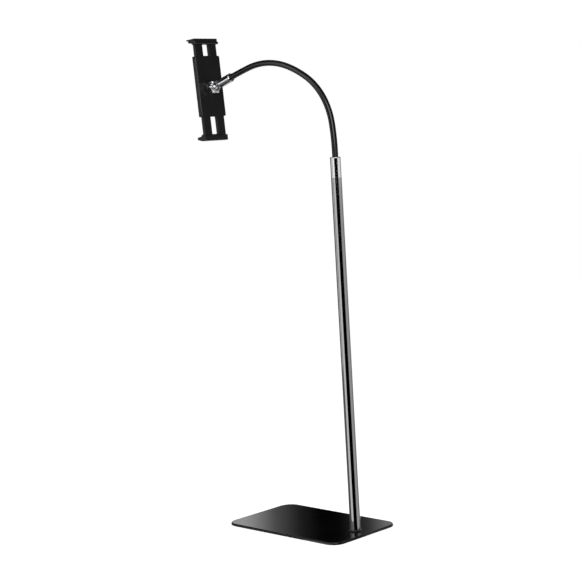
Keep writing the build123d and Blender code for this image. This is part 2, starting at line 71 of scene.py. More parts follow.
def srgb(code):
    """Turn an sRGB hex colour into linear RGBA."""
    values = [int(code[i:i + 2], 16) / 255 for i in (1, 3, 5)]
    linear = [v / 12.92 if v <= 0.04045 else ((v + 0.055) / 1.055) ** 2.4 for v in values]
    return (*linear, 1.0)


def length(name, text, millimetres):
    """Return a length setting with its default in millimetres."""
    return bpy.props.FloatProperty(
        name=name, description=text, default=millimetres / 1000, min=0, unit="LENGTH"
    )


def colour(name, text, code):
    """Return a colour setting with its default as an sRGB hex colour."""
    return bpy.props.FloatVectorProperty(
        name=name, description=text, default=srgb(code), size=4, min=0, max=1, subtype="COLOR"
    )


class StandSizes(bpy.types.PropertyGroup):
    plate_corner: length("Plate corner", "Corner radius of the plate", 28.0)
    plate_round: length("Plate rim", "Round on the plate's upper rim", 2.4)
    plate_lower_round: length("Plate lower rim", "Round on the plate's lower rim", 0.6)
    bolt_play: length("Bolt play", "Gap round the bolt's head in the plate", 0.1)
    pole_diameter: length("Pole", "Outer diameter of the pole tube", 22.0)
    pole_wall: length("Pole wall", "Wall of the pole tube", 1.2)
    pole_edge: length("Pole edge", "Chamfer on the ends of the pole tube", 0.4)
    neck_diameter: length("Neck", "Outer diameter of the neck's sleeve", 12.5)
    neck_wall: length("Neck wall", "Wall of the neck's sleeve", 1.0)
    neck_straight: length("Neck foot", "Straight stretch of the neck above its collar", 9.0)
    neck_grip: length("Neck grip", "Stretch of the sleeve inside the ferrule", 14.0)
    ball_reach: length("Ball reach", "From the neck's end to the ball's centre", 53.4)
    nut_lobe: length("Nut lobe", "Radius of each lobe of the clamp nut", 4.2)
    nut_lobe_circle: length("Nut lobe circle", "Radius on which the lobes' centres lie", 11.3)
    nut_waist: length("Nut waist", "Radius of the nut between its lobes", 12.9)
    nut_fillet: length("Nut fillet", "Softness of the corner beside each lobe", 0.4)
    nut_bore: length("Nut bore", "Radius of the nut's bore over the socket", 11.7)
    nut_mouth: length("Nut mouth", "Radius of the nut's opening round the ball", 8.0)
    nut_cap: length("Nut cap", "Thickness of the nut round its opening", 1.7)
    nut_lip: length("Nut lip", "Chamfer of the nut's opening", 0.6)
    pad_corner: length("Pad corner", "Corner radius of the front pad", 5.0)
    pad_rib_pitch: length("Pad rib pitch", "Distance between the front pad's grooves", 6.0)
    liner_corner: length("Liner corner", "Corner radius of a jaw's liner", 0.4)
    liner_rib_pitch: length("Liner rib pitch", "Distance between a jaw liner's grooves", 2.4)
    groove_depth: length("Groove depth", "Depth of the grooves in pad and liners", 0.5)


class StandColours(bpy.types.PropertyGroup):
    coat: colour("Plate coat", "Gloss powder coat on the plate", "#050505")
    nickel: colour("Pole plating", "Polished dark nickel on the pole", "#A2A2A3")
    chrome: colour("Bright plating", "Chrome on collar, ferrule, nut and ball", "#CFD0D3")
    sleeve: colour("Neck sleeve", "Black sleeve over the neck", "#060607")
    plastic: colour("Clamp plastic", "Moulded black plastic of the clamp", "#0B0B0C")
    foam: colour("Foam", "Foam pad under the plate", "#161617")
    zinc: colour("Zinc plating", "Zinc on bolt, stud, plugs and screws", "#B9BDC2")
    steel: colour("Bare steel", "Bare spring and core steel", "#8E9094")


class StudioSettings(bpy.types.PropertyGroup):
    camera_place: bpy.props.FloatVectorProperty(
        name="Camera", description="Place of the camera", default=(2.2425, 2.1667, 0.82624),
        subtype="TRANSLATION", unit="LENGTH",
    )
    camera_view: bpy.props.FloatVectorProperty(
        name="View", description="Direction that the camera looks in",
        default=(-0.71172, -0.69488, -0.10291), subtype="DIRECTION",
    )
    camera_roll: bpy.props.FloatProperty(
        name="Roll", description="Turn of the camera about its view",
        default=math.radians(-3.318), subtype="ANGLE",
    )
    lens: bpy.props.FloatProperty(
        name="Lens", description="Focal length on a 36 mm sensor", default=93.1, min=1,
        unit="CAMERA",
    )
    ambient: bpy.props.FloatProperty(
        name="Ambient", description="Strength of the even light from all round", default=0.5,
        min=0,
    )
    floor: colour("Floor", "Pale floor under the stand", "#F4F4F4")


def stand_sizes():
    return bpy.context.scene.stand_sizes


def stand_colours():
    return bpy.context.scene.stand_colours


def studio_settings():
    return bpy.context.scene.stand_studio


# Building blocks


def add_node(tree, kind, settings=None, inputs=None):
    """Add a shader node, set its properties and fill or link its inputs."""
    node = tree.nodes.new(kind)
    for key, value in (settings or {}).items():
        setattr(node, key, value)
    for key, value in (inputs or {}).items():
        if isinstance(value, bpy.types.NodeSocket):
            tree.links.new(value, node.inputs[key])
        else:
            node.inputs[key].default_value = value
    return node


def new_material(name):
    """Return a new material and its empty node tree."""
    material = bpy.data.materials.new(name)
    material.use_nodes = True
    material.node_tree.nodes.clear()
    return material, material.node_tree


def show_surface(tree, shader):
    """Make a shader the surface of its material."""
    add_node(tree, "ShaderNodeOutputMaterial", inputs={"Surface": shader.outputs[0]})


def made_once(make):
    """Return the material that a function makes and names after itself."""
    return bpy.data.materials.get(make.__name__) or make()


def new_piece(mesh_tool, name, material, smooth_angle=35):
    """Turn a bmesh into a piece with one material, smooth but for its sharp edges."""
    bmesh.ops.recalc_face_normals(mesh_tool, faces=mesh_tool.faces)
    mesh = bpy.data.meshes.new(name)
    mesh_tool.to_mesh(mesh)
    mesh_tool.free()
    mesh.materials.append(material)
    mesh.shade_smooth()
    mesh.set_sharp_from_angle(angle=math.radians(smooth_angle))
    piece = bpy.data.objects.new(name, mesh)
    bpy.context.scene.collection.objects.link(piece)
    return piece


def place_piece(piece, body, node):
    """Let a piece ride on a body and stand in for a CAD node, which it hides."""
    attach(piece, body)
    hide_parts(node)


def run_on(mesh_tool, edges, move):
    """Extrude a ring of edges, move its new points and return the new ring's edges."""
    made = bmesh.ops.extrude_edge_only(mesh_tool, edges=edges)["geom"]
    verts = {item for item in made if isinstance(item, bmesh.types.BMVert)}
    for vert in verts:
        vert.co = move(vert.co)
    return [
        item for item in made
        if isinstance(item, bmesh.types.BMEdge) and verts.issuperset(item.verts)
    ]


def cut_through(mesh_tool, point, normal):
    """Cut every face along a plane and keep both sides."""
    whole = [*mesh_tool.verts, *mesh_tool.edges, *mesh_tool.faces]
    bmesh.ops.bisect_plane(mesh_tool, geom=whole, plane_co=point, plane_no=normal)


def dress(material, *nodes):
    """Give CAD nodes a material."""
    for node in nodes:
        mesh = NODES[node].data
        mesh.materials.clear()
        mesh.materials.append(material)


# Materials


def object_coordinates(tree):
    return add_node(tree, "ShaderNodeTexCoord").outputs["Object"]


def drifting_gloss(tree, place, patch, smooth, rough, detail=4.0, breakup=0.6, threshold=0.3):
    """Return a roughness that drifts between two values in patches of so many millimetres."""
    patches = add_node(tree, "ShaderNodeTexNoise", inputs={
        "Vector": place, "Scale": 1000 / patch, "Detail": detail, "Roughness": breakup,
    })
    return add_node(tree, "ShaderNodeMapRange", inputs={
        "Value": patches.outputs["Fac"], "From Min": threshold, "From Max": 0.7,
        "To Min": smooth, "To Max": rough,
    }).outputs["Result"]


def gloss_powder_coat():
    """Black powder coat on steel, sprayed and baked: deep gloss with a faint orange peel."""
    material, tree = new_material("gloss_powder_coat")
    place = object_coordinates(tree)
    # Orange peel has waves of 1 to 2 mm; drawn at 3 mm so that it shows at all
    peel = add_node(tree, "ShaderNodeTexNoise", inputs={
        "Vector": place, "Scale": 1000 / 3, "Detail": 1.0, "Roughness": 0.4,
    })
    bump = add_node(tree, "ShaderNodeBump", inputs={
        "Height": peel.outputs["Fac"], "Strength": 0.04, "Distance": 0.0002,
    })
    # Wiping leaves broad patches of duller film, some 60 mm across
    show_surface(tree, add_node(tree, "ShaderNodeBsdfPrincipled", inputs={
        "Base Color": stand_colours().coat, "IOR": 1.5, "Normal": bump.outputs["Normal"],
        "Roughness": drifting_gloss(tree, place, 60, 0.11, 0.15),
    }))
    return material


def plated_metal(name, tint, patch, smooth, rough):
    """Polished plating: near a mirror, with soft wipe marks that change its gloss a little."""
    material, tree = new_material(name)
    roughness = drifting_gloss(
        tree, object_coordinates(tree), patch, smooth, rough, detail=5.0, breakup=0.65,
        threshold=0.35,
    )
    show_surface(tree, add_node(tree, "ShaderNodeBsdfPrincipled", inputs={
        "Base Color": tint, "Metallic": 1.0, "Roughness": roughness,
    }))
    return material


def polished_dark_nickel():
    """Dark nickel plate on drawn steel tube, buffed: a grey mirror."""
    return plated_metal("polished_dark_nickel", stand_colours().nickel, 30, 0.07, 0.12)


def polished_chrome():
    """Decorative chrome on turned brass and steel, buffed: the brightest mirror here."""
    return plated_metal("polished_chrome", stand_colours().chrome, 8, 0.05, 0.09)


def zinc_plated_steel():
    """Bright zinc on cold-headed steel: pale, slightly blue and cloudy."""
    return plated_metal("zinc_plated_steel", stand_colours().zinc, 4, 0.25, 0.42)


def drawn_steel():
    """Bare drawn steel wire and leaf: grey with a fine dull grain."""
    # The real grain is under 0.5 mm; drawn at 2 mm so that it shows
    return plated_metal("drawn_steel", stand_colours().steel, 2, 0.3, 0.5)


def grained_polymer(name, tint, grain, depth, smooth, rough):
    """Black polymer with a fine grain and gloss that varies over a few centimetres."""
    material, tree = new_material(name)
    place = object_coordinates(tree)
    pits = add_node(tree, "ShaderNodeTexVoronoi", {"feature": "SMOOTH_F1"}, {
        "Vector": place, "Scale": 1000 / grain, "Smoothness": 0.6,
    })
    bump = add_node(tree, "ShaderNodeBump", inputs={
        "Height": pits.outputs["Distance"], "Strength": 0.25, "Distance": depth / 1000,
    })
    show_surface(tree, add_node(tree, "ShaderNodeBsdfPrincipled", inputs={
        "Base Color": tint, "IOR": 1.46, "Normal": bump.outputs["Normal"],
        "Roughness": drifting_gloss(tree, place, 25, smooth, rough),
    }))
    return material


# Moulded and extruded grain is under 0.3 mm; drawn at 0.9 to 1.5 mm so that it shows


def moulded_abs():
    """Injection-moulded ABS with a spark-eroded grain: charcoal, with soft edge highlights."""
    return grained_polymer("moulded_abs", stand_colours().plastic, 0.9, 0.05, 0.36, 0.46)


def moulded_ring():
    """Injection-moulded acetal ring: smooth black with a soft gloss and almost no grain."""
    return grained_polymer("moulded_ring", stand_colours().plastic, 1.2, 0.01, 0.16, 0.24)


def silicone_sleeve():
    """Extruded black sleeve shrunk over the neck: satin, nearly smooth."""
    return grained_polymer("silicone_sleeve", stand_colours().sleeve, 1.5, 0.03, 0.20, 0.26)


def closed_cell_foam():
    """Closed-cell foam sheet with open cut cells of about a millimetre."""
    return grained_polymer("closed_cell_foam", stand_colours().foam, 1.1, 0.2, 0.85, 0.95)


# Base


class STAND_OT_base(bpy.types.Operator):
    """Finish the plate, its foam pad, its bolt and the ring at the pole's foot"""

    bl_idname = "stand.base"
    bl_label = "Base"

    corner_steps = 16
    hole_sides = 64
    lower_rim_angles = (45, 90)
    upper_rim_angles = (0, 10, 20, 30, 45, 60, 75, 90)

    def execute(self, context):
        place_piece(self.make_plate(), "stand", "base_plate")
        dress(made_once(moulded_ring), "foot_ring")
        dress(made_once(closed_cell_foam), "base_pad")
        dress(made_once(zinc_plated_steel), "base_bolt", "foot_insert")
        return {"FINISHED"}

    def make_plate(self):
        """Make the plate with rounded rims and a countersink for the bolt in its underside."""
        sizes = stand_sizes()
        low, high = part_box("base_plate")
        size, middle = high - low, (low + high) / 2
        corner, upper, lower = sizes.plate_corner, sizes.plate_round, sizes.plate_lower_round
        core = Vector((size.x / 2 - corner, size.y / 2 - corner))

        def inset(point, step, height):
            """Move a point of the outline in by a step and to a height."""
            heart = Vector([max(-c, min(c, p)) for c, p in zip(core, point.xy - middle.xy)])
            outward = (point.xy - middle.xy - heart).normalized()
            return Vector((*(middle.xy + heart + outward * (corner - step)), height))

        mesh_tool = bmesh.new()
        bmesh.ops.create_grid(mesh_tool, x_segments=1, y_segments=1, size=0.5)
        bmesh.ops.scale(mesh_tool, verts=mesh_tool.verts, vec=size)
        bmesh.ops.translate(mesh_tool, verts=mesh_tool.verts, vec=(middle.x, middle.y, low.z))
        bmesh.ops.bevel(
            mesh_tool, geom=list(mesh_tool.verts), offset=corner, affect="VERTICES",
            segments=self.corner_steps, profile=0.5, material=-1,
        )
        bmesh.ops.delete(mesh_tool, geom=list(mesh_tool.faces), context="FACES_ONLY")
        underside = list(mesh_tool.edges)
        for vert in mesh_tool.verts:
            vert.co = inset(vert.co, lower, low.z)
        ring = underside
        for turn in map(math.radians, self.lower_rim_angles):
            step, rise = lower * (1 - math.sin(turn)), lower * (1 - math.cos(turn))
            ring = run_on(mesh_tool, ring, lambda p: inset(p, step, low.z + rise))
        for turn in map(math.radians, self.upper_rim_angles):
            step, drop = upper * (1 - math.cos(turn)), upper * (1 - math.sin(turn))
            ring = run_on(mesh_tool, ring, lambda p: inset(p, step, high.z - drop))
        # A narrow flat border keeps the rim's rounding out of the top's reflections
        border = 1.2 * upper
        ring = run_on(mesh_tool, ring, lambda p: inset(p, border, high.z))
        bmesh.ops.contextual_create(mesh_tool, geom=ring)
        self.sink_bolt(mesh_tool, underside)
        return new_piece(mesh_tool, "plate", made_once(gloss_powder_coat), smooth_angle=50)

    def sink_bolt(self, mesh_tool, underside):
        """Close the plate's underside round a countersink for the bolt's head."""
        low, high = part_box("base_bolt")
        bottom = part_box("base_plate")[0].z
        centre = Vector(((low.x + high.x) / 2, (low.y + high.y) / 2, bottom))
        radius = (high.x - low.x) / 2 + stand_sizes().bolt_play
        depth = radius / 2

        def narrow(point):
            return centre + (point - centre).normalized() * depth + Vector((0, 0, depth))

        hole = bmesh.ops.create_circle(
            mesh_tool, segments=self.hole_sides, radius=radius,
            matrix=Matrix.Translation(centre),
        )
        mouth = [edge for edge in mesh_tool.edges if edge.verts[0] in hole["verts"]]
        bmesh.ops.triangle_fill(mesh_tool, edges=underside + mouth, use_beauty=True)
        bmesh.ops.contextual_create(mesh_tool, geom=run_on(mesh_tool, mouth, narrow))


# Pole


class STAND_OT_pole(bpy.types.Operator):
    """Make the pole tube and finish its collar, plug and stud"""

    bl_idname = "stand.pole"
    bl_label = "Pole"

    sides = 128

    def execute(self, context):
        place_piece(self.make_tube(), "stand", "pole")
        dress(made_once(polished_chrome), "neck_collar")
        dress(made_once(zinc_plated_steel), "top_insert", "neck_stud")
        return {"FINISHED"}

    def make_tube(self):
        sizes = stand_sizes()
        low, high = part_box("pole")
        foot = Vector(((low.x + high.x) / 2, (low.y + high.y) / 2, low.z))
        rise = Vector((0, 0, high.z - low.z))
        mesh_tool = bmesh.new()
        bmesh.ops.create_circle(
            mesh_tool, segments=self.sides, radius=sizes.pole_diameter / 2,
            matrix=Matrix.Translation(foot),
        )
        run_on(mesh_tool, list(mesh_tool.edges), lambda point: point + rise)
        bmesh.ops.recalc_face_normals(mesh_tool, faces=mesh_tool.faces)
        bmesh.ops.solidify(mesh_tool, geom=list(mesh_tool.faces), thickness=sizes.pole_wall)
        bmesh.ops.bevel(
            mesh_tool, geom=[edge for edge in mesh_tool.edges if self.is_rim(edge)],
            offset=sizes.pole_edge, affect="EDGES", segments=1, profile=0.5, material=-1,
        )
        # A cut near each end keeps the chamfers out of the tube's long reflections
        for height in (low.z + sizes.pole_wall, high.z - sizes.pole_wall):
            cut_through(mesh_tool, (0, 0, height), (0, 0, 1))
        return new_piece(mesh_tool, "pole_tube", made_once(polished_dark_nickel))

    def is_rim(self, edge):
        """Tell whether an edge is level and sharp, as those at the tube's ends are."""
        one, other = edge.verts
        return abs(one.co.z - other.co.z) < 1e-6 and edge.calc_face_angle(0) > math.radians(60)


# Neck


NECK_HINGES = (
    "neck_bend_1", "neck_bend_2", "neck_bend_3", "neck_side_4", "neck_bend_5", "neck_bend_6"
)
NECK_BODIES = ("stand", "neck_2", "neck_3", "neck_4", "neck_5", "neck_6", "neck_7")
NECK_SIDES = 64


def joint_point(name):
    return Vector(JOINTS[name]["pos_m"])


def joint_axis(name):
    return Vector(JOINTS[name]["axis"])


def neck_route():
    """Return the stations between the neck's arcs and the heading at each, from its joints.

    A heading is the angle from +Y towards +Z, in the plane in which the neck lies.
    """
    sizes = stand_sizes()
    low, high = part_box("neck_collar")
    start = Vector((0, (low.y + high.y) / 2, high.z + sizes.neck_straight))
    end = joint_point("ball_swivel") - joint_axis("ball_swivel") * sizes.ball_reach
    stations = [start, *map(joint_point, NECK_HINGES), end]
    headings = [math.pi / 2]
    for near, far in zip(stations, stations[1:]):
        chord = math.atan2(far.z - near.z, far.y - near.y) % (2 * math.pi)
        headings.append(2 * chord - headings[-1])
    return stations, headings


def arc_between(near, far, start_heading, end_heading):
    """Return the centre and the turn of the arc from one station to the next."""
    turn = end_heading - start_heading
    radius = (far - near).length / (2 * math.sin(turn / 2))
    inward = Vector((0, -math.sin(start_heading), math.cos(start_heading)))
    return near + inward * radius, turn


def half_way(station, heading, centre, turn):
    """Return the middle of the arc that leaves a station, and the heading there."""
    return Matrix.Rotation(turn / 2, 4, "X") @ (station - centre) + centre, heading + turn / 2


def neck_tube(start, heading, lead, arcs, tail):
    """Sweep a ring up a straight lead, along arcs and down a straight tail, with a wall."""
    sizes = stand_sizes()

    def direction():
        return Vector((0, math.cos(heading), math.sin(heading)))

    def straight(ring, distance):
        step = direction() * distance
        return run_on(mesh_tool, ring, lambda point: point + step) if distance else ring

    place = Matrix.Translation(start) @ direction().to_track_quat("Z", "X").to_matrix().to_4x4()
    mesh_tool = bmesh.new()
    bmesh.ops.create_circle(
        mesh_tool, segments=NECK_SIDES, radius=sizes.neck_diameter / 2, matrix=place
    )
    ring = straight(list(mesh_tool.edges), lead)
    for centre, turn in arcs:
        # Three steps for every two degrees keep the arch smooth in outline
        steps = max(6, round(abs(math.degrees(turn)) * 1.5))
        verts = dict.fromkeys(vert for edge in ring for vert in edge.verts)
        last = bmesh.ops.spin(
            mesh_tool, geom=[*verts, *ring], cent=centre, axis=(1, 0, 0), angle=turn,
            steps=steps, use_merge=False, use_normal_flip=False, use_duplicate=False,
        )["geom_last"]
        ring = [item for item in last if isinstance(item, bmesh.types.BMEdge)]
        heading += turn
    straight(ring, tail)
    bmesh.ops.recalc_face_normals(mesh_tool, faces=mesh_tool.faces)
    bmesh.ops.solidify(mesh_tool, geom=list(mesh_tool.faces), thickness=sizes.neck_wall)
    return mesh_tool


class STAND_OT_neck(bpy.types.Operator):
    """Make the neck's smooth sleeve, curved across every hinge"""

    bl_idname = "stand.neck"
    bl_label = "Neck sleeve"

    def execute(self, context):
        stations, headings = neck_route()
        ends = zip(stations, stations[1:], headings, headings[1:])
        arcs = [arc_between(*pair) for pair in ends]
        middles = [half_way(*at, *arc) for *at, arc in zip(stations, headings, arcs)]
        lead = stations[0].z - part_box("neck_jacket_1")[0].z
        foot = stations[0] - Vector((0, 0, lead)), headings[0]
        last = len(NECK_BODIES) - 2

        for n, (inner, outer) in enumerate(zip(NECK_BODIES, NECK_BODIES[1:])):
            (near_centre, near_turn), (far_centre, far_turn) = arcs[n:n + 2]
            stretches = (
                (near_centre, near_turn / (2 if n else 1)),
                (far_centre, far_turn / (2 if n < last else 1)),
            )
            mesh_tool = neck_tube(
                *(middles[n] if n else foot), 0.0 if n else lead, stretches,
                0.0 if n < last else stand_sizes().neck_grip,
            )
            sleeve = new_piece(mesh_tool, f"neck_sleeve_{n + 1}", made_once(silicone_sleeve))
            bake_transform(sleeve)
            jackets = [f"neck_jacket_{n + 1}"] + ([] if n < last else ["neck_jacket_7"])
            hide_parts(*jackets)
        dress(made_once(drawn_steel), *(f"neck_core_{n}" for n in range(1, 8)))
        return {"FINISHED"}


# Clamp


def clamp_place():
    """Return the clamp's own frame: the ball in its origin, Y to the neck and Z up the jaws."""
    back = joint_axis("clamp_spin")
    up = joint_axis("upper_jaw_slide")
    turn = Matrix((back.cross(up), back, up)).transposed().to_4x4()
    return Matrix.Translation(joint_point("clamp_spin")) @ turn


def clamp_box(node):
    """Return a CAD node's lowest and highest corners in the clamp's own frame."""
    to_clamp = clamp_place().inverted()
    corners = [to_clamp @ vert.co for vert in NODES[node].data.vertices]
    return (Vector(min(axis) for axis in zip(*corners)),
            Vector(max(axis) for axis in zip(*corners)))


class STAND_OT_head(bpy.types.Operator):
    """Make the lobed nut and finish the ferrule and the ball stud"""

    bl_idname = "stand.head"
    bl_label = "Ball joint"

    sides = 180
    lobes = 6
    # From the bore round the outside: steps in from the lobed outline and places along the
    # nut's axis, in millimetres
    profile = (
        (1.6, 0.0), (0.7, 0.2), (0.2, 0.6), (0.0, 1.2), (0.0, 8.6), (0.3, 10.2), (0.9, 11.4),
        (1.8, 12.4), (2.8, 13.0), (3.8, 13.3),
    )

    def execute(self, context):
        place_piece(self.make_nut(), "clamp_nut", "clamp_nut")
        dress(made_once(polished_chrome), "head_ferrule", "ball_stud")
        return {"FINISHED"}

    def make_nut(self):
        sizes = stand_sizes()
        low, high = clamp_box("clamp_nut")
        top = high.y - low.y
        mouth = (
            (sizes.nut_mouth + sizes.nut_lip, top),
            (sizes.nut_mouth, top - sizes.nut_lip),
            (sizes.nut_mouth, top - sizes.nut_cap),
            (sizes.nut_bore, top - sizes.nut_cap),
        )
        mesh_tool = bmesh.new()
        bmesh.ops.create_circle(mesh_tool, segments=self.sides, radius=sizes.nut_bore)
        ring = list(mesh_tool.edges)
        for step, place in self.profile:
            ring = run_on(
                mesh_tool, ring, lambda p: self.on_outline(p, step / 1000, place / 1000)
            )
        for radius, place in mouth:
            ring = run_on(mesh_tool, ring, lambda p: self.on_circle(p, radius, place))
        lips = [edge for edge in mesh_tool.edges if edge.is_boundary]
        bmesh.ops.bridge_loops(mesh_tool, edges=lips)
        lay_down = Matrix.Rotation(-math.pi / 2, 4, "X")
        bmesh.ops.transform(
            mesh_tool, verts=mesh_tool.verts,
            matrix=clamp_place() @ Matrix.Translation((0, low.y, 0)) @ lay_down,
        )
        return new_piece(mesh_tool, "lobed_nut", made_once(polished_chrome))

    def on_circle(self, point, radius, place):
        """Put a point on a circle about the nut's axis."""
        return Vector((point.x, point.y, 0)).normalized() * radius + Vector((0, 0, place))

    def on_outline(self, point, step, place):
        """Put a point on the nut's lobed outline, drawn in by a step."""
        return self.on_circle(point, self.reach(math.atan2(point.y, point.x), step), place)

    def reach(self, angle, step):
        """Return the nut's radius at an angle, its waist and lobes drawn in by a step."""
        sizes = stand_sizes()
        pitch = 2 * math.pi / self.lobes
        off = (angle + pitch / 2) % pitch - pitch / 2
        waist = sizes.nut_waist - step
        across = (sizes.nut_lobe - step) ** 2 - (sizes.nut_lobe_circle * math.sin(off)) ** 2
        if across <= 0:
            return waist
        peak = sizes.nut_lobe_circle * math.cos(off) + math.sqrt(across)
        # A soft maximum rounds the corner between a lobe and the waist
        soft, top = sizes.nut_fillet, max(peak, waist)
        return top + soft * math.log(sum(math.exp((r - top) / soft) for r in (peak, waist)))


def ribbed_pad(name, node, body, facing, along, pitch, corner):
    """Make a pad in a flat node's place, with grooves across the face that shows.

    It keeps the plain rubber colour of its node.
    """
    low, high = clamp_box(node)
    size, middle = high - low, (low + high) / 2
    facing, along = Vector(facing), Vector(along)
    side = facing.cross(along)

    def is_upright(edge):
        run = (edge.verts[1].co - edge.verts[0].co).normalized()
        return abs(run.dot(facing)) > 0.9

    mesh_tool = bmesh.new()
    bmesh.ops.create_cube(mesh_tool, size=1)
    bmesh.ops.scale(mesh_tool, verts=mesh_tool.verts, vec=size)
    bmesh.ops.translate(mesh_tool, verts=mesh_tool.verts, vec=middle)
    bmesh.ops.bevel(
        mesh_tool, geom=[edge for edge in mesh_tool.edges if is_upright(edge)], offset=corner,
        affect="EDGES", segments=6, profile=0.5, material=-1,
    )

    # Grooves three tenths of the pitch wide, inside a plain margin
    margin, half_groove = 0.6 * pitch, 0.15 * pitch
    reach = abs(size.dot(along)) / 2 - margin
    side_reach = abs(size.dot(side)) / 2 - margin
    count = int(reach * 2 / pitch)
    lines = [(n - (count - 1) / 2) * pitch for n in range(count)]
    for line in lines:
        cut_through(mesh_tool, middle + along * (line - half_groove), along)
        cut_through(mesh_tool, middle + along * (line + half_groove), along)
    cut_through(mesh_tool, middle + side * side_reach, side)
    cut_through(mesh_tool, middle - side * side_reach, side)

    def in_groove(face):
        centre = face.calc_center_median() - middle
        near_line = any(abs(centre.dot(along) - line) < half_groove for line in lines)
        shows = face.normal.dot(facing) > 0.9
        return shows and near_line and abs(centre.dot(side)) < side_reach

    floors = [face for face in mesh_tool.faces if in_groove(face)]
    sunk = bmesh.ops.extrude_face_region(mesh_tool, geom=floors)["geom"]
    bmesh.ops.translate(
        mesh_tool, verts=[item for item in sunk if isinstance(item, bmesh.types.BMVert)],
        vec=-facing * stand_sizes().groove_depth,
    )
    bmesh.ops.delete(mesh_tool, geom=floors, context="FACES")
    bmesh.ops.transform(mesh_tool, verts=mesh_tool.verts, matrix=clamp_place())
    rubber = NODES[node].data.materials[0]
    place_piece(new_piece(mesh_tool, name, rubber), body, node)


class STAND_OT_clamp(bpy.types.Operator):
    """Make the ribbed rubber parts and finish the clamp's housing, jaws, screws and springs"""

    bl_idname = "stand.clamp"
    bl_label = "Clamp"

    def execute(self, context):
        sizes = stand_sizes()
        liner = sizes.liner_rib_pitch, sizes.liner_corner
        dress(made_once(moulded_abs), "back_shell", "front_shell", "upper_jaw", "lower_jaw")
        dress(made_once(zinc_plated_steel), "housing_screws")
        dress(made_once(drawn_steel), "upper_rail_springs", "lower_rail_springs")
        ribbed_pad("ribbed_front_pad", "front_pad", "clamp", (0, -1, 0), (0, 0, 1),
                   sizes.pad_rib_pitch, sizes.pad_corner)
        ribbed_pad("ribbed_upper_liner", "upper_jaw_liner", "upper_jaw", (0, 0, -1), (1, 0, 0),
                   *liner)
        ribbed_pad("ribbed_lower_liner", "lower_jaw_liner", "lower_jaw", (0, 0, 1), (1, 0, 0),
                   *liner)
        return {"FINISHED"}


# Studio


# Angles are in degrees about the pole, from the camera's side and right of it positive.
# A card has its angles, its brightness and its section as (distance, height) in metres.
FOOT, FLOOR_END = (0.03, 0.0006), (2.2, 0.0006)
CARDS = (
    ("camera_flag", -29, 43, 0.0, (FOOT, FLOOR_END, (2.2, 0.86))),
    ("key_card", -14, 31, 4.0, ((2.2, 0.86), (2.2, 3.0))),
    ("key_left_flag", -29, -14, 0.0, ((2.2, 0.86), (2.2, 2.3))),
    ("key_right_flag", 31, 43, 0.0, ((2.2, 0.86), (2.2, 3.6))),
    ("left_card", -72, -29, 1.27, (FOOT, FLOOR_END, (2.2, 0.77))),
    ("left_top_flag", -72, -29, 0.0, ((2.2, 0.77), (2.2, 2.3))),
    ("left_top_card", -62, -14, 2.4, ((2.2, 2.3), (2.2, 2.98), (1.4, 2.98))),
    ("left_side_card", -86, -62, 2.4, ((2.2, 1.7), (2.2, 2.9))),
    ("left_low_flag", -84, -72, 0.19, ((2.2, 0.0006), (2.2, 0.8))),
    ("left_floor_flag", -140, -72, 0.19, (FOOT, FLOOR_END)),
    ("ferrule_card", -102, -84, 1.2, ((2.2, 0.0006), (2.2, 0.76))),
    ("left_rear_flag", -140, -102, 0.19, ((2.2, 0.0006), (2.2, 0.8))),
    ("left_rear_card", -168, -140, 0.5, (FOOT, FLOOR_END, (2.2, 0.8))),
    ("arch_card", -91, -72, 2.4, ((2.2, 0.95), (2.2, 1.5))),
    ("arch_left_flag", -168, -91, 0.0, ((2.2, 0.8), (2.2, 3.6))),
    ("right_low_card", 43, 101, 0.72, (FOOT, FLOOR_END, (2.2, 0.65))),
    ("right_card", 43, 101, 1.1, ((2.2, 0.65), (2.2, 0.77))),
    ("right_top_flag", 43, 168, 0.10, ((2.2, 0.77), (2.2, 3.6))),
    ("right_rear_flag", 101, 140, 0.35, (FOOT, FLOOR_END, (2.2, 0.77))),
    ("right_rear_card", 140, 168, 1.1, (FOOT, FLOOR_END, (2.2, 0.77))),
    ("ceiling_flag", -180, 180, 0.10, ((0.001, 3.0), (2.0, 3.0), (2.2, 2.9))),
)

# Degrees from one flat stretch of a curved card to the next
CARD_STEP = 6

# The flat card behind the stand: distance, width and height in metres, and its brightness
# across, from bright on the left over black to grey
REAR_DISTANCE, REAR_WIDTH, REAR_HEIGHT = 1.7, 0.9, 1.5
REAR_STOPS = (
    (0.10, 1.13), (0.155, 0.68), (0.21, 0.25), (0.30, 0.04), (0.37, 0.0), (0.45, 0.0),
    (0.55, 0.09), (0.62, 0.6),
)

# A lamp has its angle, distance and height in metres, and power in watts
LAMPS = (
    ("key_lamp", 8, 2.6, 2.2, 38),
    ("left_lamp", -51, 2.6, 1.2, 14),
    ("right_lamp", 72, 2.8, 1.0, 9),
)
LAMP_WIDTH = 1.8
LAMP_AIM = 0.6

# Half the floor's width in metres, and the share of even light that its lit paper returns
FLOOR_REACH = 30
PAPER_RETURN = 0.9


def pole_axis(height):
    """Return the point of the pole's axis at a height."""
    low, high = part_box("pole")
    return Vector(((low.x + high.x) / 2, (low.y + high.y) / 2, height))


def towards(angle):
    """Return the level direction from the pole at an angle from the camera's side."""
    camera = Vector(studio_settings().camera_place)
    return Matrix.Rotation(math.radians(angle), 3, "Z") @ (
        camera - pole_axis(camera.z)
    ).normalized()


def show_in_gloss_only(card):
    """Stand a card in the studio that only polished and satin surfaces can see."""
    card.visible_camera = False
    card.visible_diffuse = False
    card.visible_shadow = False
    card.visible_transmission = False


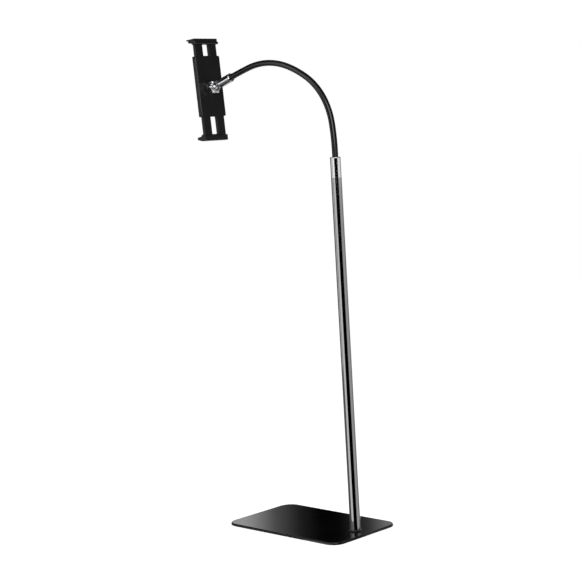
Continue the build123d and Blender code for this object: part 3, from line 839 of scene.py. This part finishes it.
def curved_card(name, begin, end, strength, section):
    """Stand an evenly bright curved card round the pole between two angles."""
    material, tree = new_material(name)
    show_surface(tree, add_node(tree, "ShaderNodeEmission", inputs={"Strength": strength}))
    mesh_tool = bmesh.new()
    row = [
        mesh_tool.verts.new(pole_axis(height) + towards(begin) * distance)
        for distance, height in section
    ]
    edges = [mesh_tool.edges.new(pair) for pair in zip(row, row[1:])]
    bmesh.ops.spin(
        mesh_tool, geom=row + edges, cent=pole_axis(0), axis=(0, 0, 1),
        angle=math.radians(end - begin), steps=max(2, round((end - begin) / CARD_STEP)),
        use_merge=False,
    )
    show_in_gloss_only(new_piece(mesh_tool, name, material))


def graded_card(name):
    """Stand a flat card behind the stand whose brightness changes from left to right."""
    material, tree = new_material(name)
    across = add_node(tree, "ShaderNodeSeparateXYZ", inputs={
        "Vector": add_node(tree, "ShaderNodeUVMap").outputs["UV"],
    })
    ramp = add_node(tree, "ShaderNodeValToRGB", inputs={"Fac": across.outputs["X"]})
    points = ramp.color_ramp.elements
    points[0].position, points[1].position = REAR_STOPS[0][0], REAR_STOPS[-1][0]
    for position, level in REAR_STOPS[1:-1]:
        points.new(position)
    for point, (position, level) in zip(points, REAR_STOPS):
        point.color = (level, level, level, 1)
    show_surface(tree, add_node(tree, "ShaderNodeEmission", inputs={
        "Color": ramp.outputs["Color"],
    }))

    mesh_tool = bmesh.new()
    bmesh.ops.create_grid(mesh_tool, x_segments=1, y_segments=1, size=0.5, calc_uvs=True)
    grid = mesh_tool.loops.layers.uv.verify()
    for face in mesh_tool.faces:
        for loop in face.loops:
            loop[grid].uv = (loop.vert.co.x + 0.5, loop.vert.co.y + 0.5)
    bmesh.ops.scale(mesh_tool, verts=mesh_tool.verts, vec=(REAR_WIDTH, REAR_HEIGHT, 1))
    upright = towards(0).to_track_quat("Z", "Y").to_matrix().to_4x4()
    place = pole_axis(REAR_HEIGHT / 2) - towards(0) * REAR_DISTANCE
    bmesh.ops.transform(
        mesh_tool, verts=mesh_tool.verts, matrix=Matrix.Translation(place) @ upright
    )
    show_in_gloss_only(new_piece(mesh_tool, name, material))


def soft_lamp(name, angle, distance, height, power):
    """Hang a soft square lamp round the pole that matt surfaces alone can see."""
    lamp = bpy.data.lights.new(name, "AREA")
    lamp.shape = "RECTANGLE"
    lamp.size = LAMP_WIDTH
    lamp.size_y = LAMP_WIDTH
    lamp.energy = power
    holder = bpy.data.objects.new(name, lamp)
    bpy.context.scene.collection.objects.link(holder)
    holder.location = pole_axis(height) + towards(angle) * distance
    holder.rotation_mode = "QUATERNION"
    aim = pole_axis(LAMP_AIM) - holder.location
    holder.rotation_quaternion = aim.to_track_quat("-Z", "Y")
    holder.visible_camera = False
    holder.visible_glossy = False


def background_rays(tree):
    """Return 1 for rays that should see the white background and 0 for the others."""
    rays = add_node(tree, "ShaderNodeLightPath")
    seen = add_node(tree, "ShaderNodeMath", {"operation": "MAXIMUM"}, {
        0: rays.outputs["Is Camera Ray"], 1: rays.outputs["Is Glossy Ray"],
    })
    return add_node(tree, "ShaderNodeMath", {"operation": "MAXIMUM"}, {
        0: seen.outputs[0], 1: rays.outputs["Is Transmission Ray"],
    }).outputs[0]


class STAND_OT_stage(bpy.types.Operator):
    """Set the pale floor, the soft lamps, the studio cards and the camera"""

    bl_idname = "stand.stage"
    bl_label = "Studio"

    def execute(self, context):
        studio = studio_settings()
        self.make_world(context.scene, studio)
        self.make_floor(studio)
        for lamp in LAMPS:
            soft_lamp(*lamp)
        for card in CARDS:
            curved_card(*card)
        graded_card("rear_card")
        self.make_camera(context.scene, studio)
        context.scene.view_settings.view_transform = "Standard"
        return {"FINISHED"}

    def make_world(self, scene, studio):
        """Give even white light, and full white to the rays that see the background."""
        scene.world = bpy.data.worlds.new("studio")
        scene.world.use_nodes = True
        tree = scene.world.node_tree
        tree.nodes.clear()
        strength = add_node(tree, "ShaderNodeMapRange", inputs={
            "Value": background_rays(tree), "To Min": studio.ambient, "To Max": 1.0,
        })
        light = add_node(tree, "ShaderNodeBackground", inputs={
            "Color": (1, 1, 1, 1), "Strength": strength.outputs["Result"],
        })
        add_node(tree, "ShaderNodeOutputWorld", inputs={"Surface": light.outputs[0]})

    def make_floor(self, studio):
        """Lay pale paper that keeps the stand's shadow and glows only as far as white."""
        material, tree = new_material("pale_paper")
        paper = add_node(tree, "ShaderNodeBsdfDiffuse", inputs={"Color": studio.floor})
        share = add_node(tree, "ShaderNodeMath", {"operation": "MULTIPLY"}, {
            0: background_rays(tree), 1: 1 - PAPER_RETURN * studio.ambient,
        })
        white = add_node(tree, "ShaderNodeEmission", inputs={"Strength": share.outputs[0]})
        show_surface(tree, add_node(tree, "ShaderNodeAddShader", inputs={
            0: paper.outputs[0], 1: white.outputs[0],
        }))
        mesh_tool = bmesh.new()
        bmesh.ops.create_grid(mesh_tool, x_segments=1, y_segments=1, size=FLOOR_REACH)
        new_piece(mesh_tool, "floor", material)

    def make_camera(self, scene, studio):
        data = bpy.data.cameras.new("camera")
        data.sensor_width = 36
        data.lens = studio.lens
        camera = bpy.data.objects.new("camera", data)
        scene.collection.objects.link(camera)
        camera.location = studio.camera_place
        camera.rotation_mode = "QUATERNION"
        level = Vector(studio.camera_view).to_track_quat("-Z", "Y")
        camera.rotation_quaternion = level @ Quaternion((0, 0, 1), studio.camera_roll)
        scene.camera = camera


# Panel and registration


class STAND_PT_panel(bpy.types.Panel):
    """Lists the stand's pieces and their settings"""

    bl_idname = "STAND_PT_panel"
    bl_label = "Floor stand"
    bl_space_type = "VIEW_3D"
    bl_region_type = "UI"
    bl_category = "Stand"

    def draw(self, context):
        for operator in OPERATORS:
            self.layout.operator(operator.bl_idname)
        for group in (stand_sizes(), stand_colours(), studio_settings()):
            box = self.layout.box()
            for name in type(group).__annotations__:
                box.prop(group, name)


OPERATORS = (
    STAND_OT_base, STAND_OT_pole, STAND_OT_neck, STAND_OT_head, STAND_OT_clamp, STAND_OT_stage
)
GROUPS = (StandSizes, StandColours, StudioSettings)


def register():
    for item in (*GROUPS, *OPERATORS, STAND_PT_panel):
        bpy.utils.register_class(item)
    bpy.types.Scene.stand_sizes = bpy.props.PointerProperty(type=StandSizes)
    bpy.types.Scene.stand_colours = bpy.props.PointerProperty(type=StandColours)
    bpy.types.Scene.stand_studio = bpy.props.PointerProperty(type=StudioSettings)


def unregister():
    del bpy.types.Scene.stand_studio
    del bpy.types.Scene.stand_colours
    del bpy.types.Scene.stand_sizes
    for item in (STAND_PT_panel, *reversed(OPERATORS), *reversed(GROUPS)):
        bpy.utils.unregister_class(item)


def main():
    register()
    bpy.ops.stand.base()
    bpy.ops.stand.pole()
    bpy.ops.stand.neck()
    bpy.ops.stand.head()
    bpy.ops.stand.clamp()
    bpy.ops.stand.stage()


if __name__ == "__main__":
    main()
